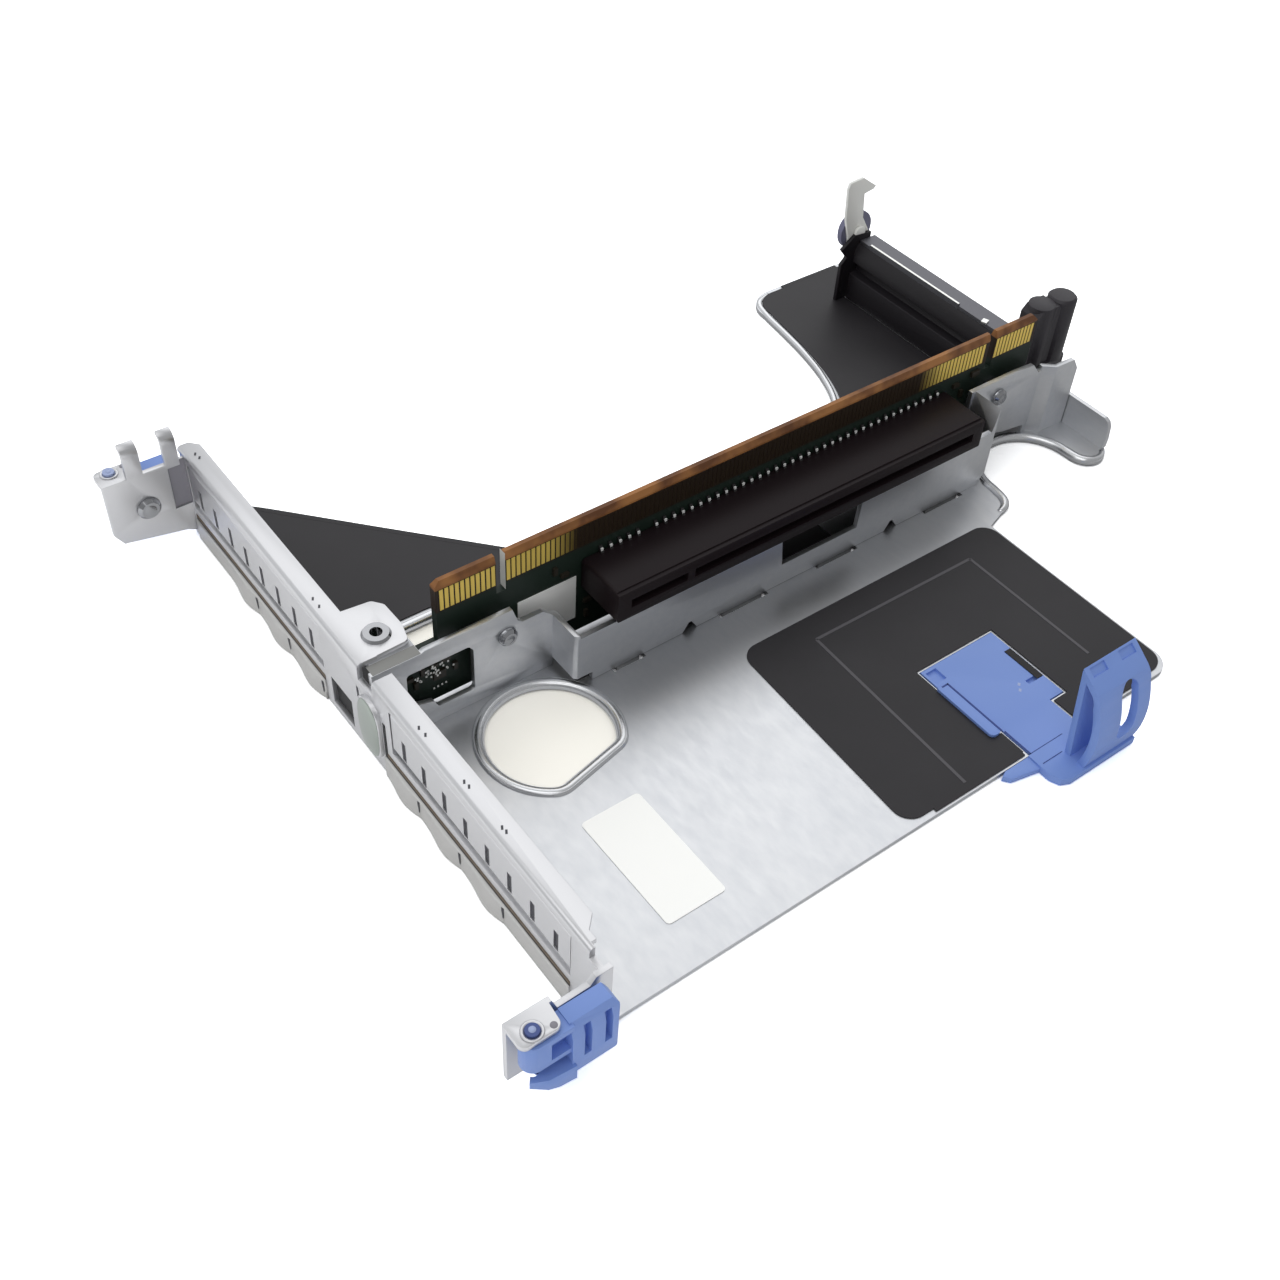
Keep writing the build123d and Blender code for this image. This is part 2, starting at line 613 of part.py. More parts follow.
def end_screw():
    x, z = end_screw_place()
    head = Cylinder(2.25, 1.0, align=(Align.CENTER, Align.CENTER, Align.MIN))
    head = chamfer(head.edges().filter_by(GeomType.CIRCLE).sort_by(Axis.Z)[-1], 0.6)
    shank = Pos(0, 0, -sheet) * Cylinder(1.4, sheet, align=(Align.CENTER, Align.CENTER, Align.MIN))
    return Pos(x, far_face - sheet, z) * Rot(90, 0, 0) * (head + shank)


def handle():
    g = handle_gap
    top = 0.2
    low = -sheet
    tray = slab([(window_left + g, window_far - g), (window_right - g, window_far - g), (window_right - g, window_neck + g),
                 (neck_right - g, window_neck + g), (neck_right - g, plate_near - 1.0), (neck_left + g, plate_near - 1.0),
                 (neck_left + g, window_neck + g), (window_left + g, window_neck + g)], low, top)
    # Lip over the film on the left, with a groove beside it and a lowered square at its end
    lip = make_face(Polyline((window_left - 0.5, window_far - 5.1), (neck_left - 0.3, window_far - 5.1),
                             (neck_left - 0.3, window_neck - 0.5), (window_left - 0.5, window_neck - 0.5), close=True))
    lip = fillet([v for v in lip.vertices() if v.Y < window_neck], 1.0)
    body = tray + Pos(0, 0, film) * extrude(lip, 0.6, dir=(0, 0, 1))
    body += block(window_left + g, neck_left - 0.3, window_neck + g, window_far - 5.1, low, film + 0.1)
    body -= block(window_left + 0.8, neck_left + 1.0, window_far - 3.8, window_far - 0.9, top - 0.6, top + 1)
    body -= block(window_right - 1.9, window_right - g - 0.2, window_far - 13.4, window_far - 5.1, top - 0.7, top + 1)
    body -= block(window_right - 4.0, window_right - 1.8, window_far - 13.4, window_far - 12.4, top - 0.7, top + 1)
    # The foot in front of the plate's edge, and a toe that hooks over it on the left
    foot = slab([(handle_left, plate_near - g), (handle_right, plate_near - g), (handle_right, plate_near - 8.0),
                 (handle_left + 2.6, plate_near - 8.0), (handle_left + 0.8, plate_near - 7.2),
                 (handle_left, plate_near - 5.4)], low, 0.6)
    toe = slab([(handle_left + 0.2, plate_near - g), (37.4, plate_near - g), (36.2, plate_near - 0.7),
                (37.2, plate_near - 2.0), (handle_left + 0.2, plate_near - 3.2)], low, top)
    return body + foot + toe + loop_handle()


def loop_handle():
    # A bow with a sloped cap, and an inner leg behind its left part; y is counted from the plate's edge
    low = -sheet
    band = [ThreePointArc((-7.0, low), (-8.2, 7.0), (-6.6, 14.0)), ThreePointArc((-6.6, 14.0), (-5.9, 15.8), (-4.8, 17.0)),
            Polyline((-4.8, 17.0), (-1.1, 19.7), (-1.4, 18.2), (-4.2, 15.9)),
            ThreePointArc((-4.2, 15.9), (-4.9, 14.9), (-5.2, 13.6)), ThreePointArc((-5.2, 13.6), (-6.7, 7.0), (-5.5, low)),
            Line((-5.5, low), (-7.0, low))]
    plane = Plane(origin=(loop_left, plate_near, 0), x_dir=(0, 1, 0), z_dir=(1, 0, 0))
    loop = extrude(plane * make_face(joined(band)), handle_right - loop_left, dir=(1, 0, 0))
    leg = sideways([(plate_near - 1.1, 19.2), (plate_near - 2.4, 17.6), (plate_near - 4.6, low), (plate_near - 3.4, low)],
                   loop_left, loop_left + 6.1)
    slot = upright_slot(loop_left + 7.6, 10.4, 12.0, 4.2)
    for x in (loop_left + 2.9, handle_right - 2.9):
        loop -= Pos(x, plate_near - 2.4, 19.3) * Rot(36, 0, 0) * Box(3.6, 1.7, 1.6)
    return loop - slot + leg


def upright_slot(x, z, length, width):
    face = Plane(origin=(x, plate_near - 4.7, z), x_dir=(1, 0, 0), z_dir=(0, -1, 0)) * SlotOverall(length, width, rotation=90)
    return extrude(face, 5.0, dir=(0, -1, 0))


def guide_post():
    # Two joined lobes on a block, with a slanted shoulder at the left
    up = (Align.CENTER, Align.CENTER, Align.MIN)
    b = guide_right + 2.5
    base = block(guide_left - 2.0, guide_right + 5.8, post_y - 3.0, post_y + 3.4, 0.0, 12.0)
    base = rounded(base, 1.2, Axis.Z, lambda c: True)
    web = upright([(guide_left - 0.6, 11.9), (guide_left - 0.6, 24.6), (guide_left + 0.8, 26.0), (b - 2.9, 26.0),
                   (b - 2.5, 25.2), (b, 25.2), (b, 11.9)], post_y - 2.4, post_y + 2.4)
    tall = Pos(b, post_y - 0.4, 11.9) * Cylinder(3.1, 14.7, align=up)
    tall = chamfer(tall.edges().filter_by(GeomType.CIRCLE).sort_by(Axis.Z)[-1], 0.5)
    short = Pos(guide_left + 2.6, post_y, 11.9) * Cylinder(2.8, 14.4, align=up)
    body = base + web + tall + short
    return body - block(guide_left - 9, board_right + 0.15, -3, post_y + 9, -1, 30)


def card_guide():
    # A wall with a card groove on its left side and a small head at the far end
    profile = [(guide_left, 0.0), (guide_right, 0.0), (guide_right, guide_top), (guide_right - 4.4, guide_top),
               (guide_left + 0.6, 12.4), (guide_left + 0.6, 9.4), (guide_left + 2.0, 9.0), (guide_left + 2.0, 7.0),
               (guide_left, 6.6)]
    body = upright(profile, guide_near, guide_far - 0.9)
    a = guide_left - 3.3
    head = upright([(a, film), (a, 9.8), (a + 1.5, 11.3), (a - 0.5, 13.7), (a + 3.3, 16.5), (guide_right - 1.0, 16.0),
                    (guide_right - 1.0, film)], guide_far - 0.9, guide_far)
    return body + head - knob_axle(0.0)


def knob_axle(r):
    return Pos(knob_x(), guide_far + hook_t / 2, knob_z) * Rot(90, 0, 0) * Cylinder(axle_r + r, 2.2)


def knob_x():
    return guide_left + 1.6


def guide_strip():
    # Steel strip on the guide, with a thin lip along its inner edge
    x1 = guide_right + 0.2
    body = block(x1 - 4.5, x1, guide_near - 1.0, guide_far - 1.0, guide_top, guide_top + strip_t)
    return body + block(x1 - 4.6, x1 - 4.1, 24.3, 52.8, guide_top, guide_top + strip_t + 0.4)


def hook():
    # A cut sheet finger with a nose, standing behind the guide's head
    x = guide_left
    outline = [(x - 1.2, 3.0), (x - 1.2, 15.0), (x - 3.0, 21.0), (x - 3.7, 28.6), (x - 3.2, 30.0), (x + 0.7, 30.3),
               (x + 5.0, 27.2), (x + 4.3, 26.5), (x + 1.7, 26.1), (x + 2.4, 20.0), (x + 5.5, 15.0), (x + 5.5, 3.0)]
    return upright(outline, guide_far, guide_far + hook_t) - knob_axle(0.0)


def guide_knob():
    y = guide_far + hook_t
    disc = Pos(knob_x(), y, knob_z) * Rot(-90, 0, 0) * Cylinder(knob_r, 1.8, align=(Align.CENTER, Align.CENTER, Align.MIN))
    disc = chamfer(disc.edges().filter_by(GeomType.CIRCLE).sort_by(Axis.Y)[-1], 0.5)
    return disc + (knob_axle(0.0) & block(guide_left - 9, guide_right + 9, guide_far - 0.7, y + 0.1, 0, 30))


def export(shape, name):
    export_step(Pos(shift_x, shift_y, shift_z) * shape, "parts/" + name + ".step")


pieces = {
    "base_plate": base_plate(),
    "film_near": film_near(),
    "film_back_left": film_back_left(),
    "film_back_right": film_back_right(),
    "slot_bracket": slot_bracket(),
    "filler_near": filler(-1),
    "filler_far": filler(1),
    "emi_spring_near": emi_spring(-1),
    "emi_spring_far": emi_spring(1),
    "riser_bracket": riser_bracket(),
    "riser_screws": riser_screws(),
    "standoffs": standoffs(),
    "eyelet": eyelet(),
    "riser_board": riser_board(),
    "contacts_front": contacts(-contact_t / 2),
    "contacts_back": contacts(board_t + contact_t / 2),
    "slot_connector": slot_connector(),
    "connector_leads": connector_leads(),
    "board_chips": board_chips(),
    "board_label": board_label(),
    "plate_label": plate_label(),
    "near_latch": latch(-1),
    "near_latch_pin": latch_pin(-1),
    "far_latch": latch(1),
    "far_latch_pin": latch_pin(1),
    "end_screw": end_screw(),
    "handle": handle(),
    "guide_post": guide_post(),
    "card_guide": card_guide(),
    "guide_strip": guide_strip(),
    "guide_hook": hook(),
    "guide_knob": guide_knob(),
}

os.makedirs("parts", exist_ok=True)
for name, shape in pieces.items():
    export(shape, name)
box = Compound(children=list(pieces.values())).bounding_box()
print("from", box.min, "to", box.max)
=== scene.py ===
import json
import math
import bmesh
import bpy
import numpy as np
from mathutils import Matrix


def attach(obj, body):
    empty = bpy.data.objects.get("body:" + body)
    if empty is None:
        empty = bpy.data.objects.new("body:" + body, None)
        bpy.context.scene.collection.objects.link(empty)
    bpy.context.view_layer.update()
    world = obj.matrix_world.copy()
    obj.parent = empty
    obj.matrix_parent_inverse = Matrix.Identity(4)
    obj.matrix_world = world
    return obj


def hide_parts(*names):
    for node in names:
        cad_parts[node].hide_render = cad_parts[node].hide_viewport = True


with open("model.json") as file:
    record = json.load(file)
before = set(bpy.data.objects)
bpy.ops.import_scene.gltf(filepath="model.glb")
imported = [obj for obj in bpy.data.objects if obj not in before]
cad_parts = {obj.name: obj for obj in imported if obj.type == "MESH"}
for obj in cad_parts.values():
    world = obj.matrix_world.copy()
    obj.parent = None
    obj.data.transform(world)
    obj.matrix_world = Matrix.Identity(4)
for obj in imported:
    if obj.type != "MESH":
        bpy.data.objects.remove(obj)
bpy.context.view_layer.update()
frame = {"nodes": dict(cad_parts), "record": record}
nodes = frame["nodes"]
print("frame loaded:", len(nodes), "pieces")


def linear(code):
    # sRGB hex to linear light
    parts = [int(code[k:k + 2], 16) / 255 for k in (1, 3, 5)]
    return tuple(c / 12.92 if c <= 0.04045 else ((c + 0.055) / 1.055) ** 2.4 for c in parts) + (1.0,)


def setInputs(tree, node, inputs):
    # Each input is a value, or a socket to link
    for name, value in inputs.items():
        if isinstance(value, bpy.types.NodeSocket):
            tree.links.new(value, node.inputs[name])
        else:
            node.inputs[name].default_value = value


def add(tree, kind, inputs=None, **settings):
    # One node with its settings and inputs
    node = tree.nodes.new(kind)
    for name, value in settings.items():
        setattr(node, name, value)
    setInputs(tree, node, inputs or {})
    return node


def newMaterial(name):
    material = bpy.data.materials.new(name)
    material.use_nodes = True
    tree = material.node_tree
    return material, tree, tree.nodes["Principled BSDF"]


galvanised = {
    "light": "#DCDDDF",
    "dark": "#D2D4D8",
    "spangle": 1.6,              # mm, width of a zinc crystal
    "cloud": 30.0,               # mm, width of a duller patch
    "roughness": 0.4,
    "shade": "#3A3B40",          # painted reflection: the plate close to the riser is darkened, standing for the black slot it mirrors
    "shadeShare": 0.42,
    "riserFront": -0.0075,       # m, where the shade is deepest
    "shadeReach": 0.024,         # m, and how far in front of that it ends
    "shadeLeft": (-0.075, -0.030),
    "shadeRight": (0.060, 0.050),
    "plateTop": (0.0012, 0.0011),
}


def galvanisedSteel():
    # Hot-dip galvanised sheet, rolled: zinc crystals a couple of mm wide scatter the light in soft grey patches; close
    # to the riser the colour is darkened, a painted reflection of the black slot
    material, tree, shader = newMaterial("galvanisedSteel")
    g = galvanised
    where = add(tree, "ShaderNodeTexCoord").outputs["Object"]
    stretched = add(tree, "ShaderNodeMapping", {"Vector": where, "Scale": (1.0, 0.4, 1.0), "Rotation": (0, 0, 0.9)})
    grain = add(tree, "ShaderNodeTexNoise", {"Vector": stretched.outputs[0], "Scale": 1000 / g["spangle"],
                                             "Detail": 3.0, "Roughness": 0.6}).outputs["Fac"]
    cloud = add(tree, "ShaderNodeTexNoise", {"Vector": where, "Scale": 1000 / g["cloud"], "Detail": 2.0})
    both = add(tree, "ShaderNodeMath", {0: grain, 1: cloud.outputs["Fac"]}, operation="ADD")
    ramp = add(tree, "ShaderNodeMapRange", {"Value": both.outputs[0], "From Min": 0.6, "From Max": 1.3})
    zinc = add(tree, "ShaderNodeMix", {"Factor": ramp.outputs[0], 6: linear(g["dark"]), 7: linear(g["light"])},
               data_type="RGBA")
    at = add(tree, "ShaderNodeSeparateXYZ", {0: where}).outputs
    shaded = g["shadeShare"]
    for side, (start, end) in (("Y", (g["riserFront"] - g["shadeReach"], g["riserFront"])), ("Z", g["plateTop"]),
                               ("X", g["shadeRight"]), ("X", g["shadeLeft"])):
        fade = add(tree, "ShaderNodeMapRange", {"Value": at[side], "From Min": start, "From Max": end})
        shaded = add(tree, "ShaderNodeMath", {0: shaded, 1: fade.outputs[0]}, operation="MULTIPLY").outputs[0]
    tone = add(tree, "ShaderNodeMix", {"Factor": shaded, 6: zinc.outputs[2], 7: linear(g["shade"])}, data_type="RGBA")
    rough = add(tree, "ShaderNodeMapRange", {"Value": grain, "From Min": 0.3, "From Max": 0.7,
                                             "To Min": g["roughness"] + 0.03, "To Max": g["roughness"] - 0.02})
    setInputs(tree, shader, {"Base Color": tone.outputs[2], "Metallic": 1.0, "Roughness": rough.outputs[0]})
    return material


def plainMetal(name, code, roughness):
    material, tree, shader = newMaterial(name)
    setInputs(tree, shader, {"Base Color": linear(code), "Metallic": 1.0, "Roughness": roughness})
    return material


def plainPlastic(name, code, roughness, ior=1.5):
    material, tree, shader = newMaterial(name)
    setInputs(tree, shader, {"Base Color": linear(code), "Roughness": roughness, "IOR": ior})
    return material


filmSheet = {
    "dark": "#242225",
    "light": "#302E31",
    "cloud": 16.667,     # mm, width of a paler patch
}


def insulatingFilm():
    # Calendered black film: a faint cloudy sheen breaks up the even grey
    material, tree, shader = newMaterial("insulatingFilm")
    f = filmSheet
    where = add(tree, "ShaderNodeTexCoord").outputs["Object"]
    cloud = add(tree, "ShaderNodeTexNoise", {"Vector": where, "Scale": 1000 / f["cloud"], "Detail": 3.0})
    tone = add(tree, "ShaderNodeMix", {"Factor": cloud.outputs["Fac"], 6: linear(f["dark"]), 7: linear(f["light"])},
               data_type="RGBA")
    setInputs(tree, shader, {"Base Color": tone.outputs[2], "Roughness": 0.5, "IOR": 1.4})
    return material


boardSheet = {
    "mask": "#202C25",
    "band": "#2C2017",             # bare resin along the contacts
    "bandStart": (0.0224, 0.0228), # m, height at which the mask ends
    "wornEdge": "#6B4325",
    "edge": "#A8723F",
    "edgeStart": (0.02745, 0.0276),
    "wear": 7.692,                 # mm, width of a worn patch
}


def circuitBoard():
    # Glass epoxy with dark solder mask: the bare upper edge shows brown, worn darker in places
    material, tree, shader = newMaterial("solderMaskOnGlassEpoxy")
    where = add(tree, "ShaderNodeTexCoord").outputs["Object"]
    height = add(tree, "ShaderNodeSeparateXYZ", {0: where}).outputs["Z"]
    b = boardSheet
    steps = []
    for start, end in (b["bandStart"], b["edgeStart"]):
        step = add(tree, "ShaderNodeMapRange", {"Value": height, "From Min": start, "From Max": end})
        steps.append(step.outputs[0])
    wear = add(tree, "ShaderNodeTexNoise", {"Vector": where, "Scale": 1000 / b["wear"], "Detail": 3.0})
    worn = add(tree, "ShaderNodeMapRange", {"Value": wear.outputs["Fac"], "From Min": 0.4, "From Max": 0.62})
    brown = add(tree, "ShaderNodeMix", {"Factor": worn.outputs[0], 6: linear(b["wornEdge"]), 7: linear(b["edge"])},
                data_type="RGBA")
    mask = add(tree, "ShaderNodeMix", {"Factor": steps[0], 6: linear(b["mask"]), 7: linear(b["band"])},
               data_type="RGBA")
    tone = add(tree, "ShaderNodeMix", {"Factor": steps[1], 6: mask.outputs[2], 7: brown.outputs[2]}, data_type="RGBA")
    setInputs(tree, shader, {"Base Color": tone.outputs[2], "Roughness": 0.45, "IOR": 1.35})
    return material


def labelStock():
    # White coated metallised polyester: brighter than the sheet below it
    material, tree, shader = newMaterial("coatedPolyesterLabel")
    setInputs(tree, shader, {"Base Color": linear("#FFFFFC"), "Metallic": 0.8, "Roughness": 0.5})
    return material


contactRange = {
    "left": -0.0350,     # m along the board, bright up to here
    "right": 0.0465,     # and bright again from here
    "fade": 0.006,
    "gold": "#FFDE70",
    # painted reflection of the dark slot, given to the pads in the middle of the edge
    "shade": "#3A2E20",
}


def contactGold():
    # Gold plated pads: bright at both ends of the edge, darkened to brown in the middle as a painted reflection of the
    # slot
    material, tree, shader = newMaterial("goldPlating")
    c = contactRange
    where = add(tree, "ShaderNodeTexCoord").outputs["Object"]
    along = add(tree, "ShaderNodeSeparateXYZ", {0: where}).outputs["X"]
    ends = []
    for start, end in ((c["left"], c["left"] - c["fade"]), (c["right"], c["right"] + c["fade"])):
        fade = add(tree, "ShaderNodeMapRange", {"Value": along, "From Min": start, "From Max": end})
        ends.append(fade.outputs[0])
    lit = add(tree, "ShaderNodeMath", {0: ends[0], 1: ends[1]}, operation="MAXIMUM").outputs[0]
    tone = add(tree, "ShaderNodeMix", {"Factor": lit, 6: linear(c["shade"]), 7: linear(c["gold"])}, data_type="RGBA")
    setInputs(tree, shader, {"Base Color": tone.outputs[2], "Metallic": 0.55, "Roughness": 0.4})
    return material


# One finish for each slot of the part: name, colour, roughness and for plastics the IOR
finishes = {
    "galvanised_steel": galvanisedSteel(),
    "bracket_steel": plainMetal("stampedBracketSteel", "#D6D6D8", 0.38),         # satin, evenly pale
    "spring_steel": plainMetal("springSheet", "#C9C8C6", 0.32),                  # a little warmer and shinier
    "screw_steel": plainMetal("brightZincScrew", "#A6A7AA", 0.13),               # small sharp highlights
    "black_film": insulatingFilm(),
    "board_green": circuitBoard(),
    "contact_gold": contactGold(),
    "connector_black": plainPlastic("mouldedConnector", "#1C1316", 0.5, 1.3),    # warm black with a weak sheen
    "tin_leads": plainPlastic("tinnedLeadsPaintedShade", "#1E1B1C", 0.5),                    # painted shade: near black, for the shade of the slot the leads stand in
    "chip_black": plainPlastic("mouldedChips", "#2E2A22", 0.4, 1.4),
    "label_white": labelStock(),
    "blue_plastic": plainPlastic("mouldedBlueAbs", "#7E9CE0", 0.45),             # soft satin blue
    "blue_pin": plainPlastic("mouldedBluePin", "#465894", 0.42),
    "guide_black": plainPlastic("mouldedBlackNylon", "#201D21", 0.45, 1.42),
    "knob_blue": plainPlastic("mouldedBlueKnob", "#72728C", 0.42),
}
# And those of small places and of pieces that look different from the rest of their slot; many are painted shade and
# painted highlights, as said at each
extras = {
    "crease": plainPlastic("scoredFilmHighlight", "#514F53", 0.5),                # painted highlight: the score line is paler, as where it catches the light
    # painted shade: thin dark panels where there is only shade
    "dark": plainPlastic("paintedShadePanel", "#161518", 0.6),
    # punched marks on the flange; the same grey is painted shade at the leaf ends and in the slits
    "mark": plainPlastic("punchedMarkAndPaintedShade", "#4A4A50", 0.6),
    # painted shade: grey in the pocket at the wall's far end and in each ear's dimple
    "pocket": plainPlastic("paintedPocketShade", "#908E96", 0.6),
    # painted shade: a darker blue in the handle's grooves and creases and in the latches' gaps
    "groove": plainPlastic("paintedShadeBlue", "#34488C", 0.6),
    # the guide strip's dull steel; on the crease at the plate's corner the same grey is painted shade
    "strip": plainMetal("dullStripSteelAndCreaseShade", "#76767B", 0.5),
    "hook": plainPlastic("paintedHookSheet", "#F6F6F2", 0.5),            # pale from every side
    "post": plainPlastic("mouldedPostNylon", "#322F34", 0.45, 1.42),     # paler than the guide beside it
    # painted shade: a flat grey panel on the tab stands for its darker turned-up face
    "turned": plainPlastic("turnedUpPanelShade", "#8F8F8C", 0.5),
    "paperLabel": plainPlastic("paperLabel", "#FFFFFC", 0.6),
    "rim": plainMetal("rolledRimSteel", "#DADBDD", 0.25),                # rolling polishes it: thin bright lines
    "tongue": plainMetal("raisedTongueSteel", "#A9B0AA", 0.3),
    "brown": plainPlastic("gasketFoam", "#6E6152", 0.7),
    "cutEdge": plainPlastic("routedBoardEdge", "#D6D6D0", 0.6),
    "tin": plainPlastic("solderTipHighlight", "#F4F4F2", 0.35),                   # painted highlight: a white speck on each foot
    # painted highlight along the lit edge of the guide strip; the same white on its pale stud
    "bright": plainMetal("edgeHighlightAndPaleStud", "#F4F4F0", 0.4),
    # on the far pin this paler blue is painted light: the same pin as the near one, washed out by the light
    "paleBlue": plainPlastic("paleBluePin", "#A9B8E0", 0.4),
}

slotOf = {part["node"]: part["material_slot"] for part in frame["record"]["subparts"]}
for name, piece in nodes.items():
    piece.data.materials.clear()
    piece.data.materials.append(finishes[slotOf[name]])
# Pieces whose finish differs from their slot; the far pin's paler blue is painted light, that pin washed out by the
# light
for name, shade in (("guide_strip", "strip"), ("guide_hook", "hook"), ("guide_post", "post"),
                    ("board_label", "paperLabel"), ("far_latch_pin", "paleBlue")):
    nodes[name].data.materials[0] = extras[shade]
print("finishes set")


def row(points):
    # From the millimetres of the part's source to metres in the shared frame
    return (np.asarray(points, float) + (-30.1, 2.962, 1.0)) / 1000


def newPiece(name, corners, faces, material, body="cage", smooth=True):
    mesh = bpy.data.meshes.new(name)
    mesh.from_pydata(corners.tolist(), [], [tuple(face) for face in faces])
    shell = bmesh.new()
    shell.from_mesh(mesh)
    bmesh.ops.remove_doubles(shell, verts=shell.verts, dist=5e-6)     # closes the poles
    bmesh.ops.recalc_face_normals(shell, faces=shell.faces)
    shell.to_mesh(mesh)
    shell.free()
    mesh.materials.append(material)
    mesh.polygons.foreach_set("use_smooth", [smooth] * len(mesh.polygons))
    piece = bpy.data.objects.new(name, mesh)
    bpy.context.scene.collection.objects.link(piece)
    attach(piece, body)
    return piece


def gridFaces(rows, columns, closed):
    # Quads between neighbouring rows of corners, each row a closed ring, and a cap on each open end
    i = np.arange(rows if closed else rows - 1)[:, None]
    j = np.arange(columns)[None, :]
    a = i * columns + j
    b = i * columns + (j + 1) % columns
    c = (i + 1) % rows * columns + (j + 1) % columns
    d = (i + 1) % rows * columns + j
    quads = np.stack([a, b, c, d], axis=-1).reshape(-1, 4).tolist()
    if closed:
        return quads
    return quads + [list(range(columns))[::-1], list(range((rows - 1) * columns, rows * columns))]


def curved(points, count):
    # Catmull-Rom curve: each point is a cubic blend of the four given points round it
    p = np.asarray(points, float)
    p = np.vstack([2 * p[0] - p[1], p, 2 * p[-1] - p[-2]])
    t = np.linspace(0, len(p) - 3, count, endpoint=False)
    k = t.astype(int)
    f = (t - k)[:, None]
    a, b, c, d = p[k], p[k + 1], p[k + 2], p[k + 3]
    return 0.5 * (2 * b + (c - a) * f + (2 * a - 5 * b + 4 * c - d) * f ** 2 + (3 * b - a - 3 * c + d) * f ** 3)


rolls = {                    # mm
    "radius": 1.12,
    "inset": 0.62,           # from the cut edge to the middle of the roll
    "height": -0.38,
    "rearRadius": 0.72,      # of the finer roll along the rear curve
    "rearHeight": -0.28,
    "under": -0.97,          # the flat underside
    "around": 14,            # corners round a section
    "tip": 0.55,             # share of the radius at an open end, full after so many steps
    "steps": 12,
    "dHole": {"at": (-21.9, -17.0), "turn": 12.5, "radius": 11.8, "corner": 3.2, "cornerAt": (5.96, -6.2),
              "cornerEnd": -46.1},
    "backHole": {"at": (-26.6, 13.6), "corner": 2.2, "cornerAt": (3.0, 3.1)},
    "notch": {"at": (102.0, -13.2), "radius": 10.6, "before": [(86.6, -19.0), (88.6, -18.5), (90.1, -16.8)],
              "after": [(113.7, -16.6), (115.6, -18.3), (118.4, -18.3), (120.3, -16.6)]},
    "rear": [(74.6, 19.5), (82.6, 26.4), (87.2, 35.8), (89.6, 45.1), (90.9, 53.1), (92.0, 60.8), (93.8, 65.6),
             (98.6, 67.6)],
}


def roll(name, path, radius, centreZ, closed):
    # Rolled edge: a circle carried along the path, its underside cut flat at the plate's
    around = rolls["around"]
    if closed:
        ahead = np.roll(path, -1, 0) - np.roll(path, 1, 0)
    else:
        ahead = np.gradient(path, axis=0)
    ahead = ahead / np.linalg.norm(ahead, axis=1)[:, None]
    side = np.stack([ahead[:, 1], -ahead[:, 0]], axis=1)
    turn = np.linspace(0, 2 * math.pi, around, endpoint=False)
    size = np.full(len(path), float(radius))
    if not closed:
        ends = np.minimum(np.arange(len(path)), np.arange(len(path))[::-1])
        size = size * np.clip(rolls["tip"] + ends / rolls["steps"], 0, 1)
    across = np.cos(turn)[None, :] * size[:, None]
    up = np.maximum(np.sin(turn)[None, :] * size[:, None] + centreZ, rolls["under"])
    xy = path[:, None, :] + side[:, None, :] * across[:, :, None]
    corners = np.concatenate([xy, up[:, :, None]], axis=2).reshape(-1, 3)
    return newPiece(name, row(corners), gridFaces(len(path), around, closed), extras["rim"])


def arc(cx, cy, r, start, end, count):
    # count points of a circle, the angles in degrees
    a = np.radians(np.linspace(start, end, count))
    return np.stack([cx + r * np.cos(a), cy + r * np.sin(a)], axis=1)


def spin(points, degrees):
    # turned about the origin
    a = math.radians(degrees)
    return points @ np.array([[math.cos(a), math.sin(a)], [-math.sin(a), math.cos(a)]])


def rolledEdges():
    # Every opening of the plate is finished with a soft roll instead of a raw edge
    r, d, z = rolls["radius"], rolls["inset"], rolls["height"]
    hole = rolls["dHole"]
    (x, y), c, end = hole["cornerAt"], hole["corner"] + d, hole["cornerEnd"]
    ring = np.vstack([arc(x, y, c, -90, end, 8)[:-1], arc(0, 0, hole["radius"] + d, end, 180 - end, 72)[:-1],
                      arc(-x, y, c, 180 - end, 270, 8)])
    roll("dHoleRoll", spin(ring, hole["turn"]) + hole["at"], r, z, True)
    hole = rolls["backHole"]
    (x, y), c = hole["cornerAt"], hole["corner"] + d
    ring = np.vstack([arc(x, y, c, 0, 90, 8), arc(-x, y, c, 90, 180, 8), arc(-x, -y, c, 180, 270, 8),
                      arc(x, -y, c, 270, 360, 8)])
    roll("backHoleRoll", ring + hole["at"], r, z, True)
    notch = rolls["notch"]
    edge = np.vstack([notch["before"], arc(*notch["at"], notch["radius"] + d, 180, 0, 40), notch["after"]])
    roll("notchRoll", curved(edge, 130), r, z, False)
    roll("rearCurveRoll", curved(rolls["rear"], 60), rolls["rearRadius"], rolls["rearHeight"], False)


rolledEdges()


def ribbon(name, path, wide, z, material, thick=0.06, body="cage"):
    # A flat strip along a path of (x, y) points, mitred at its corners
    p = np.asarray(path, float)
    ahead = np.gradient(p, axis=0)
    ahead = ahead / np.linalg.norm(ahead, axis=1)[:, None]
    side = np.stack([ahead[:, 1], -ahead[:, 0]], axis=1) * wide / 2
    left, right = p - side, p + side
    n = len(p)
    tops = np.column_stack([np.stack([left, right, right, left], 1).reshape(-1, 2),
                            np.tile([z + thick, z + thick, z, z], n)])
    return newPiece(name, row(tops), gridFaces(n, 4, False), material, body, smooth=False)


score = {
    "corners": [(29.9, -65.4), (31.3, -25.6), (71.0, -26.0), (70.9, -56.7)],   # mm
    "wide": 0.6,
    "film": 0.25,
}


def creases():
    # The film is scored so that it folds over the stiffening step; its score lines are drawn paler, a painted highlight
    c = score["corners"]
    for k in range(len(c) - 1):
        ribbon("filmCrease" + str(k), np.linspace(c[k], c[k + 1], 12), score["wide"], score["film"], extras["crease"],
               0.05)


creases()


